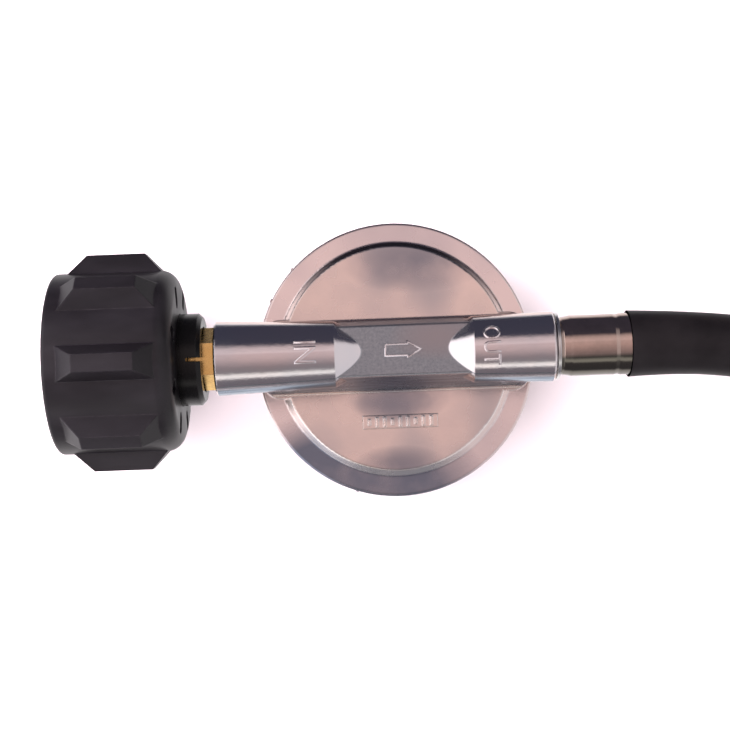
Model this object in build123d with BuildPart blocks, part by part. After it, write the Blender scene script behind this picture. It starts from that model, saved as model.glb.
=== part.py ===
"""Low-pressure LP gas regulator with a hand-tightened cylinder nut and a rubber outlet hose.

Frame: origin at the centre of the spring tower's flat end, +X along the gas flow, +Z from the
vented cover towards the cast back plate. Millimetres.
"""

import math
import os

from build123d import *

os.makedirs("parts", exist_ok=True)

# ---- Driving dimensions ----------------------------------------------------------------------
AXIS_Z = 30.0  # height of the inlet and outlet bores' common axis
FIT = 0.05  # radial running clearance of turning and sliding pairs
SNUG = 0.02  # radial gap of pairs that are screwed or pressed together

# Casing: a round casting whose skirt is rolled over the cover's flange
RIM_R = 34.75
RIM_TOP = AXIS_Z - 13.0
PLATEAU_R = 28.3
PLATEAU_TOP = AXIS_Z - 10.8
PLATEAU_SLOPE = 1.4
RIM_UNDER = AXIS_Z - 14.2
LIP_TOP = AXIS_Z - 17.4
LIP_BOTTOM = AXIS_Z - 18.4
LIP_R = 31.6
SKIRT_R = 33.3
CHAMBER_R = 27.0
CHAMBER_TOP = AXIS_Z - 12.4

# Bar and tubes cast on the back plate
BAR_TOP = 4.9  # above the bore axis
BAR_HALF_TOP = 6.2
BAR_FEET = (-8.3, 9.4)  # its two side walls lean out unequally
BAR_FOOT_ROUND = 1.1
BAR_END = 33.7
BAR_END_ROUND = 5.0
INLET_MOUTH_X, INLET_MOUTH_R = -43.8, 9.0
INLET_NECK_X, INLET_NECK_R = -14.9, 8.05
INLET_TIP_X = -8.4  # where the cone runs out on the bar's flat
OUTLET_NECK_X, OUTLET_NECK_R = 18.6, 8.1
OUTLET_TIP_X = 12.4
CONE_ROOT_R = 3.2  # radius at which the cones end, inside the bar
OUTLET_MOUTH_X, OUTLET_MOUTH_R = 38.3, 8.5
OUTLET_WAY_X = 14.5  # where the passage opens out behind the lever cavity
THREAD_R = 6.2  # pipe thread of both ports
INLET_THREAD_X = -27.8
OUTLET_THREAD_X = 24.3

# Coupling nut and what it turns on
NUT_X0, NUT_X1 = -81.8, -52.2
NUT_R = 22.0
NUT_THREAD_R = 16.65  # 1-5/16 inch cylinder thread
NUT_THREAD_END = -62.6
LOBE_R = 26.2
LOBES = 8
LOBE_TILT = 6.0  # degrees from +Z towards -Y of the first lobe
LOBE_BASE = (-78.1, -56.2)
LOBE_FLAT = (-74.0, -60.0)
LOBE_WIDTHS = (8.0, 4.05)
HUB_R = 11.2
HUB_END = -46.6
HUB_FLANGE_R = 13.5
SHANK_R = 6.2
HEX_FLATS = 13.2
HEX_START = -48.2
SLIT = (0.9, 3.4)

# Outlet ferrule and hose
SHOULDER_X = 39.25
FERRULE_LENGTH = 17.05
BARB_R = 5.0
CRIMPED_R = 6.75
HOSE_R = 7.6

# Hose route: corner points from the ferrule's mouth to where the coil begins on the floor
HOSE_ROUTE = [
    (56.3, 0.0, 30.0),
    (68.0, 0.0, 30.0),
    (84.9, -1.5, 28.3),
    (100.9, -4.0, 23.6),
    (115.9, -7.2, 15.8),
    (130.9, -12.9, 10.2),
    (146.8, -18.4, 7.7),
    (161.9, -21.9, 7.7),
    (177.3, -23.5, 7.7),
]
COIL_R = 76.0
FLAT_TURN = 114.0  # degrees of the coil that lie flat
RISE_TURN = 90.0  # degrees that rise to the far end
END_LIFT = 3.6  # rise of the coil's end, which lets the swivel nut clear the floor

# Flare nut on the hose's far end
FLARE_HEX = 19.0
FLARE_NUT = (6.0, 26.0)  # heel and mouth, from the far ferrule's end
FLARE_THREAD_R = 7.94  # 5/8-18 thread
FLARE_THREAD_START = 18.2
STEM_NECK_R = 4.6

# Diaphragm, lever and spring
STEM_R = 1.5
PIVOT_X, PIVOT_Z = -12.6, AXIS_Z + 2.9
PIN_R, PIN_LENGTH = 0.8, 12.0
PAD_R = 2.4
PAD_X0, PAD_X1 = -15.7, -14.2
ORIFICE_TIP = -16.4
TOWER_R, TOWER_BORE = 15.0, 12.6
SEAT_Z = 6.0
PLATE_UNDER = AXIS_Z - 14.3

ORIGIN, UP, ALONG = Vector(0, 0, 0), Vector(0, 0, 1), Vector(1, 0, 0)
FLOW = Plane(origin=(0, 0, AXIS_Z), x_dir=(1, 0, 0), z_dir=(0, -1, 0))
FLOW_AXIS = Axis((0, 0, AXIS_Z), (1, 0, 0))


# ---- Helpers ---------------------------------------------------------------------------------
def finish(piece, label):
    """Name a finished piece and write its file."""
    piece.part.label = label
    export_step(piece.part, f"parts/{label}.step")
    return piece.part


def turned(outline, plane=FLOW, axis=FLOW_AXIS):
    """A body of revolution from an outline of (distance along the axis, radius) points."""
    with BuildPart() as piece:
        with BuildSketch(plane):
            with BuildLine():
                Polyline(*outline, close=True)
            make_face()
        revolve(axis=axis)
    return piece


def pipe_outline(stations, bore_r):
    """Outline of a sleeve: (x, outer radius) stations round one straight bore."""
    return [(stations[0][0], bore_r), *stations, (stations[-1][0], bore_r)]


def near(points, spot, reach=0.2):
    """The points of a sketch that stand at a spot."""
    return points.filter_by(lambda v: math.dist((v.X, v.Y), spot) < reach)


def around_flow(angle, x, radius):
    """A plane that faces outward from the flow axis, at an angle from +Z towards -Y."""
    side, up = -math.sin(math.radians(angle)), math.cos(math.radians(angle))
    return Plane(
        origin=(x, radius * side, AXIS_Z + radius * up),
        x_dir=(1, 0, 0),
        z_dir=(0, side, up),
    )


# ---- Casing ----------------------------------------------------------------------------------
def bar():
    """Drafted ridge across the back plate, from rim to rim, filleted into it at its foot."""
    front, back = BAR_FEET
    slab_top = PLATEAU_TOP - 0.06
    slab_front, slab_back = front - BAR_FOOT_ROUND, back + BAR_FOOT_ROUND
    with BuildPart() as ridge:
        with BuildSketch(Plane.YZ.offset(-BAR_END)) as section:
            with BuildLine():
                Polyline(
                    (slab_front, RIM_UNDER),
                    (slab_front, slab_top),
                    (front, slab_top),
                    (-BAR_HALF_TOP, AXIS_Z + BAR_TOP),
                    (BAR_HALF_TOP, AXIS_Z + BAR_TOP),
                    (back, slab_top),
                    (slab_back, slab_top),
                    (slab_back, RIM_UNDER),
                    close=True,
                )
            make_face()
            for foot in BAR_FEET:
                fillet(near(section.vertices(), (foot, slab_top)), BAR_FOOT_ROUND)
        extrude(amount=2 * BAR_END)
        fillet(ridge.faces().sort_by(Axis.Z)[-1].edges(), 0.6)
        with BuildSketch(Plane.XY.offset(RIM_UNDER)):
            with Locations((0, (slab_front + slab_back) / 2)):
                RectangleRounded(2 * BAR_END, slab_back - slab_front, BAR_END_ROUND)
        extrude(amount=AXIS_Z, mode=Mode.INTERSECT)
    return ridge.part


def body_casting():
    """Back plate, bar, both port tubes, valve cavity and the skirt rolled under the cover."""
    inlet_slope = (INLET_NECK_R - BAR_TOP) / (INLET_TIP_X - INLET_NECK_X)
    outlet_slope = (OUTLET_NECK_R - BAR_TOP) / (OUTLET_NECK_X - OUTLET_TIP_X)
    with BuildPart() as piece:
        with BuildSketch(Plane.XZ) as disc:
            with BuildLine():
                Polyline(
                    (0, PLATEAU_TOP),
                    (PLATEAU_R, PLATEAU_TOP),
                    (PLATEAU_R + PLATEAU_SLOPE, RIM_TOP),
                    (RIM_R, RIM_TOP),
                    (RIM_R, LIP_BOTTOM),
                    (LIP_R, LIP_BOTTOM),
                    (LIP_R, LIP_TOP),
                    (SKIRT_R, LIP_TOP),
                    (SKIRT_R, RIM_UNDER),
                    (CHAMBER_R, RIM_UNDER),
                    (CHAMBER_R, CHAMBER_TOP),
                    (0, CHAMBER_TOP),
                    close=True,
                )
            make_face()
            fillet(near(disc.vertices(), (PLATEAU_R, PLATEAU_TOP)), 0.6)
            fillet(near(disc.vertices(), (PLATEAU_R + PLATEAU_SLOPE, RIM_TOP)), 0.6)
            fillet(near(disc.vertices(), (RIM_R, RIM_TOP)), 0.7)
            fillet(near(disc.vertices(), (RIM_R, LIP_BOTTOM)), 0.9)
        revolve(axis=Axis.Z)

        add(bar())

        # Port tubes, each with a cone that runs out on the bar's flat
        with BuildSketch(FLOW):
            with BuildLine():
                Polyline(
                    (INLET_MOUTH_X, 0),
                    (INLET_MOUTH_X, INLET_MOUTH_R - 0.4),
                    (INLET_MOUTH_X + 0.4, INLET_MOUTH_R),
                    (INLET_NECK_X, INLET_NECK_R),
                    (INLET_NECK_X + (INLET_NECK_R - CONE_ROOT_R) / inlet_slope, CONE_ROOT_R),
                    (OUTLET_NECK_X - (OUTLET_NECK_R - CONE_ROOT_R) / outlet_slope, CONE_ROOT_R),
                    (OUTLET_NECK_X, OUTLET_NECK_R),
                    (OUTLET_MOUTH_X - 0.5, OUTLET_MOUTH_R),
                    (OUTLET_MOUTH_X, OUTLET_MOUTH_R - 0.5),
                    (OUTLET_MOUTH_X, 0),
                    close=True,
                )
            make_face()
        revolve(axis=FLOW_AXIS)

        # Bores, from the inlet thread through the orifice seat to the outlet thread
        with BuildSketch(FLOW):
            with BuildLine():
                Polyline(
                    (INLET_MOUTH_X - 1, 0),
                    (INLET_MOUTH_X - 1, THREAD_R),
                    (INLET_THREAD_X, THREAD_R),
                    (INLET_THREAD_X, 4.5),
                    (-19.0, 4.5),
                    (-19.0, 3.6),
                    (OUTLET_WAY_X, 3.6),
                    (OUTLET_WAY_X, 4.6),
                    (OUTLET_THREAD_X, 4.6),
                    (OUTLET_THREAD_X, THREAD_R),
                    (OUTLET_MOUTH_X + 1, THREAD_R),
                    (OUTLET_MOUTH_X + 1, 0),
                    close=True,
                )
            make_face()
        revolve(axis=FLOW_AXIS, mode=Mode.SUBTRACT)

        # Chamber under the plate, and the lever cavity in the bar above it
        with BuildSketch(Plane.XY.offset(RIM_UNDER - 1)):
            Circle(CHAMBER_R)
        extrude(amount=CHAMBER_TOP - RIM_UNDER + 1, mode=Mode.SUBTRACT)
        with BuildSketch(Plane.XY.offset(CHAMBER_TOP - 1)):
            with Locations((-4.0, 0)):
                RectangleRounded(30.0, 9.6, 1.5)
        extrude(amount=AXIS_Z + 4.0 - CHAMBER_TOP + 1, mode=Mode.SUBTRACT)

        # Cross hole of the lever pin
        with BuildSketch(Plane.XZ.offset(-PIN_LENGTH / 2 - 0.1)):
            with Locations((PIVOT_X, PIVOT_Z)):
                Circle(PIN_R + SNUG)
        extrude(amount=PIN_LENGTH + 0.2, mode=Mode.SUBTRACT)
    return finish(piece, "body_casting")


def cover():
    """Cover dome and spring tower, with the vent boss."""
    with BuildPart() as piece:
        with BuildSketch(Plane.XZ) as section:
            with BuildLine():
                Polyline(
                    (TOWER_BORE, 0),
                    (TOWER_R, 0),
                    (TOWER_R + 0.4, 8.4),
                    (28.6, LIP_BOTTOM - 1.2),
                    (30.4, LIP_TOP + 0.02),
                    (SKIRT_R - SNUG, LIP_TOP + 0.02),
                    (SKIRT_R - SNUG, RIM_UNDER - 0.82),
                    (27.6, RIM_UNDER - 0.82),
                    (26.6, LIP_TOP + 0.4),
                    (TOWER_BORE + 0.8, 10.4),
                    (TOWER_BORE, 9.6),
                    close=True,
                )
            make_face()
            fillet(near(section.vertices(), (TOWER_R, 0)), 0.8)
            fillet(near(section.vertices(), (TOWER_R + 0.4, 8.4)), 1.2)
            fillet(near(section.vertices(), (28.6, LIP_BOTTOM - 1.2)), 1.0)
        revolve(axis=Axis.Z)
        with BuildSketch(Plane.XY.offset(5.2)):
            with Locations((0, 21.5)):
                Circle(5.0)
        extrude(amount=6.0)
        with BuildSketch(Plane.XY.offset(5.2)):
            with Locations((0, 21.5)):
                Circle(3.5)
        extrude(amount=1.6, mode=Mode.SUBTRACT)
        with BuildSketch(Plane.XY.offset(5.2)):
            with Locations((0, 21.5)):
                Circle(1.8)
        extrude(amount=12.0, mode=Mode.SUBTRACT)
    return finish(piece, "cover")


def vent_screen():
    """Woven disc that keeps insects out of the vent."""
    with BuildPart() as piece:
        with BuildSketch(Plane.XY.offset(6.2)):
            with Locations((0, 21.5)):
                Circle(3.5 - SNUG)
        extrude(amount=0.6 - SNUG)
        with BuildSketch(Plane.XY.offset(6.2)):
            with Locations((0, 21.5)):
                with GridLocations(1.1, 1.1, 5, 5):
                    Rectangle(0.6, 0.6)
                Circle(2.9, mode=Mode.INTERSECT)
        extrude(amount=0.6 - SNUG, mode=Mode.SUBTRACT)
    return finish(piece, "vent_screen")


def diaphragm():
    """Rubber disc, clamped at its edge, raised in the middle by the spring."""
    rim_z = RIM_UNDER - 0.8
    top_z = PLATE_UNDER + 0.8
    with BuildPart() as piece:
        with BuildSketch(Plane.XZ):
            with BuildLine():
                Polyline(
                    (STEM_R + 0.1, top_z),
                    (19.0, top_z),
                    (23.0, rim_z + 0.2),
                    (25.0, rim_z),
                    (SKIRT_R - SNUG, rim_z),
                    (SKIRT_R - SNUG, rim_z + 0.78),
                    (25.2, rim_z + 0.78),
                    (23.4, rim_z + 1.0),
                    (19.4, top_z + 0.8),
                    (STEM_R + 0.1, top_z + 0.8),
                    close=True,
                )
            make_face()
        revolve(axis=Axis.Z)
    return finish(piece, "diaphragm")


def seal_cap():
    """Plug that closes the spring tower, flush with its end."""
    with BuildPart() as piece:
        with BuildSketch(Plane.XY):
            Circle(TOWER_BORE - SNUG)
        extrude(amount=1.8)
        with BuildSketch(Plane.XY):
            with PolarLocations(9.6, 6):
                Circle(0.9)
        extrude(amount=0.8, mode=Mode.SUBTRACT)
    return finish(piece, "seal_cap")


# ---- Valve -----------------------------------------------------------------------------------
def orifice():
    """Brass seat pressed in the inlet bore, its nozzle facing the valve pad."""
    return finish(
        turned(
            [
                (-26.5, 1.6),
                (-26.5, 4.5 - SNUG),
                (-19.2, 4.5 - SNUG),
                (-19.2, 3.0),
                (ORIFICE_TIP - 0.6, 2.2),
                (ORIFICE_TIP, 1.7),
                (ORIFICE_TIP, 1.1),
                (-20.0, 1.1),
                (-22.0, 1.6),
            ]
        ),
        "orifice",
    )


def lever_pin():
    """Steel pin across the cavity that the lever swings on."""
    with BuildPart() as piece:
        with BuildSketch(Plane.XZ.offset(-PIN_LENGTH / 2)):
            with Locations((PIVOT_X, PIVOT_Z)):
                Circle(PIN_R)
        extrude(amount=PIN_LENGTH)
    return finish(piece, "lever_pin")


def valve_lever():
    """Bell crank between the diaphragm's stem and the valve pad, forked round the stem."""
    fork_z = AXIS_Z - 10.15
    width = 6.0
    with BuildPart() as piece:
        with BuildSketch(Plane.XZ.offset(-width / 2)) as side:
            with BuildLine():
                Polyline(
                    (PAD_X1, AXIS_Z + 2.4),
                    (PIVOT_X - 1.1, PIVOT_Z + 0.7),
                    (PIVOT_X + 1.2, PIVOT_Z + 0.7),
                    (PIVOT_X + 1.2, PIVOT_Z - 1.2),
                    (-12.7, AXIS_Z - 2.6),
                    (-4.2, fork_z + 0.5),
                    (3.9, fork_z + 0.4),
                    (3.9, fork_z - 0.4),
                    (-4.6, fork_z - 0.5),
                    (PAD_X1, AXIS_Z - 3.0),
                    close=True,
                )
            make_face()
        extrude(amount=width)
        with BuildSketch(Plane.XZ.offset(-width / 2)):
            with Locations((PIVOT_X, PIVOT_Z)):
                Circle(PIN_R + FIT)
        extrude(amount=width, mode=Mode.SUBTRACT)
        with BuildSketch(Plane.XY.offset(fork_z - 2)):
            with Locations((0.9, 0)):
                SlotOverall(7.6, 2 * STEM_R + 0.5)
            with Locations((4.0, 0)):
                Rectangle(4.0, 2 * STEM_R + 0.5)
        extrude(amount=4.0, mode=Mode.SUBTRACT)
    return finish(piece, "valve_lever")


def valve_pad():
    """Rubber pad that closes the orifice."""
    return finish(
        turned([(PAD_X0, 0), (PAD_X0, PAD_R), (PAD_X1, PAD_R), (PAD_X1, 0)]), "valve_pad"
    )


def diaphragm_plate():
    """Steel plate that spreads the spring's force over the diaphragm."""
    with BuildPart() as piece:
        with BuildSketch(Plane.XZ):
            with BuildLine():
                Polyline(
                    (STEM_R + SNUG, PLATE_UNDER),
                    (17.2, PLATE_UNDER),
                    (18.4, PLATE_UNDER - 0.9),
                    (19.0, PLATE_UNDER - 0.5),
                    (17.6, PLATE_UNDER + 0.78),
                    (STEM_R + SNUG, PLATE_UNDER + 0.78),
                    close=True,
                )
            make_face()
        revolve(axis=Axis.Z)
    return finish(piece, "diaphragm_plate")


def diaphragm_stem():
    """Riveted stem with two collars that carry the lever's fork."""
    stations = [
        (PLATE_UNDER - 1.0, 2.6),
        (PLATE_UNDER - 0.02, 2.6),
        (PLATE_UNDER - 0.02, STEM_R),
        (AXIS_Z - 11.9, STEM_R),
        (AXIS_Z - 11.9, 2.6),
        (AXIS_Z - 11.1, 2.6),
        (AXIS_Z - 11.1, STEM_R),
        (AXIS_Z - 9.2, STEM_R),
        (AXIS_Z - 9.2, 2.6),
        (AXIS_Z - 8.4, 2.6),
        (AXIS_Z - 8.0, 2.0),
        (AXIS_Z - 8.0, 0),
        (PLATE_UNDER - 1.0, 0),
    ]
    with BuildPart() as piece:
        with BuildSketch(Plane.XZ):
            with BuildLine():
                Polyline(*[(r, z) for z, r in stations], close=True)
            make_face()
        revolve(axis=Axis.Z)
    return finish(piece, "diaphragm_stem")


def coil_spring(label, low, high, coil_r, wire_r, turns, axis_at, direction):
    """Compression spring whose wire centre runs from low to high along a direction."""
    pitch = (high - low) / turns
    with BuildPart() as piece:
        with BuildLine() as path:
            Helix(pitch, high - low, coil_r, center=axis_at + direction * low, direction=direction)
        with BuildSketch(Plane(origin=path.line @ 0, z_dir=path.line % 0)):
            Circle(wire_r)
        sweep(is_frenet=True)
    return finish(piece, label)


def spring_seat():
    """Washer between the spring and the adjusting nut."""
    with BuildPart() as piece:
        with BuildSketch(Plane.XY.offset(SEAT_Z)):
            Circle(9.4)
            Circle(4.0, mode=Mode.SUBTRACT)
        extrude(amount=0.8)
        with BuildSketch(Plane.XY.offset(SEAT_Z + 0.8)):
            Circle(6.2)
            Circle(4.0, mode=Mode.SUBTRACT)
        extrude(amount=1.6)
    return finish(piece, "spring_seat")


def adjusting_nut():
    """Threaded disc that loads the spring, turned by a hex key."""
    with BuildPart() as piece:
        with BuildSketch(Plane.XY.offset(SEAT_Z - 2.8)):
            Circle(TOWER_BORE - FIT)
            RegularPolygon(4.0, 6, mode=Mode.SUBTRACT)
        extrude(amount=2.8 - FIT)
    return finish(piece, "adjusting_nut")


# ---- Inlet -----------------------------------------------------------------------------------
def inlet_nipple():
    """Brass nipple: seal nose, thrust flange, shank, hex and pipe thread, bored through."""
    with BuildPart() as piece:
        with BuildSketch(FLOW):
            with BuildLine():
                Polyline(
                    (-79.0, 3.6),
                    (-79.0, 4.8),
                    (-77.6, 6.2),
                    (-74.2, 7.9),
                    (-72.6, 7.9),
                    (-72.6, 6.4),
                    (-70.8, 6.4),
                    (-70.8, 7.9),
                    (-62.2, 7.9),
                    (-61.2, 12.4),
                    (-59.0, 12.4),
                    (-59.0, SHANK_R),
                    (INLET_MOUTH_X - 0.1, SHANK_R),
                    (INLET_MOUTH_X - 0.1, THREAD_R - SNUG),
                    (INLET_THREAD_X - 0.8, THREAD_R - SNUG),
                    (INLET_THREAD_X - 0.1, THREAD_R - 0.8),
                    (INLET_THREAD_X - 0.1, 2.6),
                    (-64.4, 2.6),
                    (-65.4, 3.6),
                    close=True,
                )
            make_face()
        revolve(axis=FLOW_AXIS)
        # The hex's first flat faces up, tilted with the nut's first lobe
        with BuildSketch(Plane.YZ.offset(HEX_START)):
            with Locations((0, AXIS_Z)):
                Circle(SHANK_R)
                RegularPolygon(
                    HEX_FLATS / 2, 6, major_radius=False, rotation=LOBE_TILT, mode=Mode.ADD
                )
                Circle(SHANK_R - 1, mode=Mode.SUBTRACT)
        extrude(amount=INLET_MOUTH_X - 0.1 - HEX_START)
    return finish(piece, "inlet_nipple")


def nipple_seal():
    """Rubber ring in the nose's groove."""
    with BuildPart() as piece:
        with BuildSketch(FLOW):
            with Locations((-71.7, 7.24)):
                Circle(0.82)
        revolve(axis=FLOW_AXIS)
    return finish(piece, "nipple_seal")


def thermal_bushing():
    """Plastic bushing that carries the nut and softens in a fire, split at its outer end."""
    with BuildPart() as piece:
        with BuildSketch(FLOW):
            with BuildLine():
                Polyline(
                    (-58.7, SHANK_R + FIT),
                    (-58.7, HUB_FLANGE_R),
                    (-56.4, HUB_FLANGE_R),
                    (-56.4, HUB_R),
                    (HUB_END - 1.0, HUB_R),
                    (HUB_END, HUB_R - 1.0),
                    (HUB_END, 8.0),
                    (-51.0, 8.0),
                    (-51.0, SHANK_R + FIT),
                    close=True,
                )
            make_face()
        revolve(axis=FLOW_AXIS)
        with BuildSketch(around_flow(LOBE_TILT, HUB_END, SHANK_R + 1)):
            Rectangle(2 * SLIT[1], SLIT[0])
        extrude(amount=6.0, mode=Mode.SUBTRACT)
    return finish(piece, "thermal_bushing")


def coupling_nut():
    """Hand nut with eight tapered grip lobes and the cylinder thread inside."""
    with BuildPart() as piece:
        with BuildSketch(FLOW) as section:
            with BuildLine():
                Polyline(
                    (NUT_X0, NUT_THREAD_R + 1.2),
                    (NUT_X0, NUT_R),
                    (NUT_X1, NUT_R),
                    (NUT_X1, HUB_R + FIT),
                    (-56.1, HUB_R + FIT),
                    (-56.1, HUB_FLANGE_R + 0.3),
                    (-61.5, HUB_FLANGE_R + 0.3),
                    (NUT_THREAD_END, NUT_THREAD_R),
                    (NUT_X0 + 1.2, NUT_THREAD_R),
                    close=True,
                )
            make_face()
            fillet(near(section.vertices(), (NUT_X0, NUT_R)), 0.9)
            fillet(near(section.vertices(), (NUT_X1, NUT_R)), 4.2)
        revolve(axis=FLOW_AXIS)

        base_mid, base_length = sum(LOBE_BASE) / 2, LOBE_BASE[1] - LOBE_BASE[0]
        flat_mid, flat_length = sum(LOBE_FLAT) / 2, LOBE_FLAT[1] - LOBE_FLAT[0]
        for turn in range(LOBES):
            angle = LOBE_TILT + turn * 360 / LOBES
            with BuildSketch(around_flow(angle, base_mid, NUT_R - 1.0)):
                Rectangle(base_length + 2.0, LOBE_WIDTHS[0] + 0.9)
            with BuildSketch(around_flow(angle, flat_mid, LOBE_R)):
                Rectangle(flat_length, LOBE_WIDTHS[1])
            loft()

        # Coring pockets in the outer end face, between the lobes
        for turn in range(LOBES):
            angle = LOBE_TILT + (turn + 0.5) * 360 / LOBES
            side, up = -math.sin(math.radians(angle)), math.cos(math.radians(angle))
            face = Plane(
                origin=(NUT_X1 + 0.5, 16.2 * side, AXIS_Z + 16.2 * up),
                x_dir=(0, side, up),
                z_dir=(-1, 0, 0),
            )
            with BuildSketch(face):
                SlotOverall(5.4, 2.8)
            extrude(amount=2.6, mode=Mode.SUBTRACT)
    return finish(piece, "coupling_nut")


def flow_poppet():
    """Excess-flow poppet that slides in the nose."""
    return finish(
        turned(
            [
                (-76.0, 0),
                (-76.0, 1.4),
                (-75.0, 3.5),
                (-73.6, 3.5),
                (-73.6, 1.2),
                (-69.6, 1.2),
                (-69.6, 0),
            ]
        ),
        "flow_poppet",
    )


def poppet_retainer():
    """Split ring that keeps the poppet in the nose."""
    return finish(
        turned(pipe_outline([(-77.6, 3.6 - SNUG), (-76.4, 3.6 - SNUG)], 2.2)), "poppet_retainer"
    )


# ---- Outlet ----------------------------------------------------------------------------------
def outlet_fitting():
    """Threaded hose stem with a shoulder ring and a barbed tail."""
    barbs = []
    for start in (43.5, 46.5, 49.5):
        barbs += [(start, BARB_R - 0.5), (start, BARB_R - SNUG), (start + 2.4, BARB_R - 0.5)]
    stations = [
        (OUTLET_THREAD_X + 0.1, THREAD_R - 0.8),
        (OUTLET_THREAD_X + 0.9, THREAD_R - SNUG),
        (SHOULDER_X - 0.7, THREAD_R - SNUG),
        (SHOULDER_X - 0.7, 8.1),
        (SHOULDER_X, 8.1),
        (SHOULDER_X, BARB_R - 0.5),
        *barbs,
        (53.5, BARB_R - 1.2),
    ]
    return finish(turned(pipe_outline(stations, 3.2)), "outlet_fitting")


def ferrule_stations(start):
    """Outline of the crimped ferrule, from its rounded shoulder to the belled mouth."""
    return [
        (start, 6.2),
        (start + 0.3, 6.75),
        (start + 1.0, 7.05),
        (start + 2.2, 7.2),
        (start + 3.0, 7.4),
        (start + 11.6, 7.4),
        (start + 13.2, 7.45),
        (start + 14.2, 7.3),
        (start + 15.0, 7.5),
        (start + FERRULE_LENGTH, 7.55),
    ]


def ferrule(label, start, plane, axis):
    """Crimped sleeve, folded in behind the hose's end."""
    stations = ferrule_stations(start)
    inner = [
        (stations[-1][0], CRIMPED_R + SNUG),
        (start + 1.4, CRIMPED_R + SNUG),
        (start + 1.4, BARB_R),
        (start, BARB_R),
    ]
    return finish(turned([*stations, *inner], plane, axis), label)


def crimped_end(label, start, plane, axis):
    """Hose wall squeezed between the barb and the ferrule."""
    ring = [(start + 1.5, CRIMPED_R), (start + FERRULE_LENGTH, CRIMPED_R)]
    return finish(turned(pipe_outline(ring, BARB_R), plane, axis), label)


def corner_radii(points):
    """Radius of each corner: 0.45 of its shorter run over the tangent of half the turn."""
    radii = []
    for before, corner, after in zip(points, points[1:], points[2:]):
        turn = (corner - before).get_angle(after - corner)
        shorter = min((corner - before).length, (after - corner).length)
        radii.append(0.45 * shorter / math.tan(math.radians(turn / 2)))
    return radii


def hose():
    """Hose along its free stretch, down from the ferrule to the coil."""
    points = [Vector(*point) for point in HOSE_ROUTE]
    radii = corner_radii(points)
    with BuildPart() as piece:
        with BuildLine() as path:
            FilletPolyline(*points, radius=radii)
        with BuildSketch(Plane(origin=points[0], z_dir=ALONG)):
            Circle(HOSE_R)
        sweep()
    length = sum(edge.length for edge in path.edges())
    share = piece.part.volume / (math.pi * HOSE_R**2 * length)
    print("hose radii", [round(r, 1) for r in radii], "length", round(length, 1))
    print("hose volume over section times length", round(share, 4))
    return finish(piece, "hose")


def turn_about(start, ahead, inward, radius, degrees):
    """A turn of the hose: its axis, and the place, heading and inward direction at its end."""
    swing = math.radians(degrees)
    centre = start + inward * radius
    turned_ahead = ahead * math.cos(swing) + inward * math.sin(swing)
    turned_inward = inward * math.cos(swing) - ahead * math.sin(swing)
    axis = Axis(centre, ahead.cross(inward))
    return axis, centre - turned_inward * radius, turned_ahead, turned_inward


def coil_turns():
    """The coil's two turns, each with its start plane, axis and angle, and the coil's end."""
    before, place = Vector(*HOSE_ROUTE[-2]), Vector(*HOSE_ROUTE[-1])
    ahead = (place - before).normalized()
    inward = UP.cross(ahead)
    rise = math.asin(END_LIFT / (COIL_R * (1 - math.cos(math.radians(RISE_TURN)))))
    turns = []
    for degrees, tilt in ((FLAT_TURN, 0.0), (RISE_TURN, rise)):
        inward = inward * math.cos(tilt) + UP * math.sin(tilt)
        plane = Plane(origin=place, x_dir=inward, z_dir=ahead)
        axis, place, ahead, inward = turn_about(place, ahead, inward, COIL_R, degrees)
        turns.append((plane, axis, degrees))
    return turns, place, ahead


def hose_coil():
    """The put-away length, laid round on the floor, its end rising to the far fitting."""
    with BuildPart() as piece:
        for plane, axis, degrees in coil_turns()[0]:
            with BuildSketch(plane):
                Circle(HOSE_R)
            revolve(axis=axis, revolution_arc=degrees)
    return finish(piece, "hose_coil")


def far_stem(plane, axis, tail):
    """Barbed stem in the hose's far end, with the flare seat that the swivel nut pulls on."""
    outline = [
        (3.0, BARB_R - 1.0),
        (5.0, BARB_R - SNUG),
        (tail, BARB_R - SNUG),
        (tail + 0.1, BARB_R + 1.0),
        (tail + 1.2, BARB_R + 1.0),
        (tail + 1.4, STEM_NECK_R),
        (tail + 13.4, STEM_NECK_R),
        (tail + 14.4, 6.9),
        (tail + 15.2, 6.9),
        (tail + 17.8, 3.9),
    ]
    return finish(turned(pipe_outline(outline, 3.1), plane, axis), "flare_stem")


def swivel_nut(plane, axis, heel, mouth, tail):
    """Flare nut that turns on the stem, its hex rounded off at both ends."""
    corner_r = FLARE_HEX / 2 + 2.5
    rounded = [
        (heel - 1.0, corner_r - 2.6),
        (heel + 1.6, corner_r),
        (mouth - 1.6, corner_r),
        (mouth + 1.0, corner_r - 2.6),
    ]
    hollow = [
        (heel - 1.0, STEM_NECK_R + FIT),
        (tail + 13.0, STEM_NECK_R + FIT),
        (tail + 14.2, 7.1),
        (tail + FLARE_THREAD_START - 0.3, 7.1),
        (tail + FLARE_THREAD_START, FLARE_THREAD_R),
        (mouth + 1.0, FLARE_THREAD_R),
    ]
    with BuildPart() as piece:
        hex_plane = Plane(
            origin=axis.position + axis.direction * heel,
            x_dir=plane.z_dir,
            z_dir=axis.direction,
        )
        with BuildSketch(hex_plane):
            RegularPolygon(FLARE_HEX / 2, 6, major_radius=False)
        extrude(amount=mouth - heel)
        for outline, mode in ((rounded, Mode.INTERSECT), (hollow, Mode.SUBTRACT)):
            with BuildSketch(plane):
                with BuildLine():
                    Polyline((heel - 1.0, 0), *outline, (mouth + 1.0, 0), close=True)
                make_face()
            revolve(axis=axis, mode=mode)
    return finish(piece, "swivel_nut")


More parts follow.
